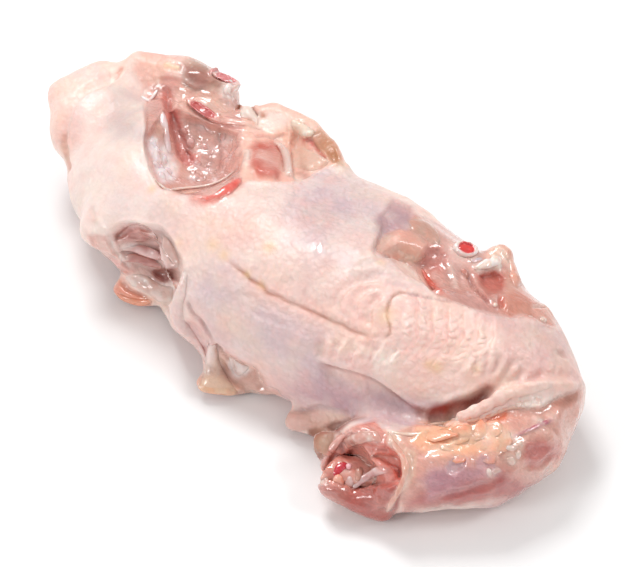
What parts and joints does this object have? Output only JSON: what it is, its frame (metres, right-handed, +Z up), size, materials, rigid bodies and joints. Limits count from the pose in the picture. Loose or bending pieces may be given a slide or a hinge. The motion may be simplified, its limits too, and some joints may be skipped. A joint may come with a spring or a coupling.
{
  "type": "raw turkey back",
  "caption": "Raw turkey back with its neck curled in front, pale skin over meat, cut hollows where the legs and wing were, and sawn bone ends.",
  "frame": {"origin": "on the table under the middle of the bounding box", "axes": "+X along the spine towards the neck, +Z up, -Y the side that the neck curls to"},
  "size_m": [0.3038, 0.1502, 0.0739],
  "materials": {
    "skin": "raw poultry skin, pale pink and moist, with meat and fat where it is cut",
    "bone": "fresh bone and gristle, wet",
    "marrow": "red marrow inside a pale sawn rim, wet"
  },
  "bodies": {
    "root": {"back": "skin", "neck_bone": "bone", "shoulder_bone": "marrow", "hip_bone": "marrow", "pelvis_bone": "marrow"}
  },
  "joints": []
}
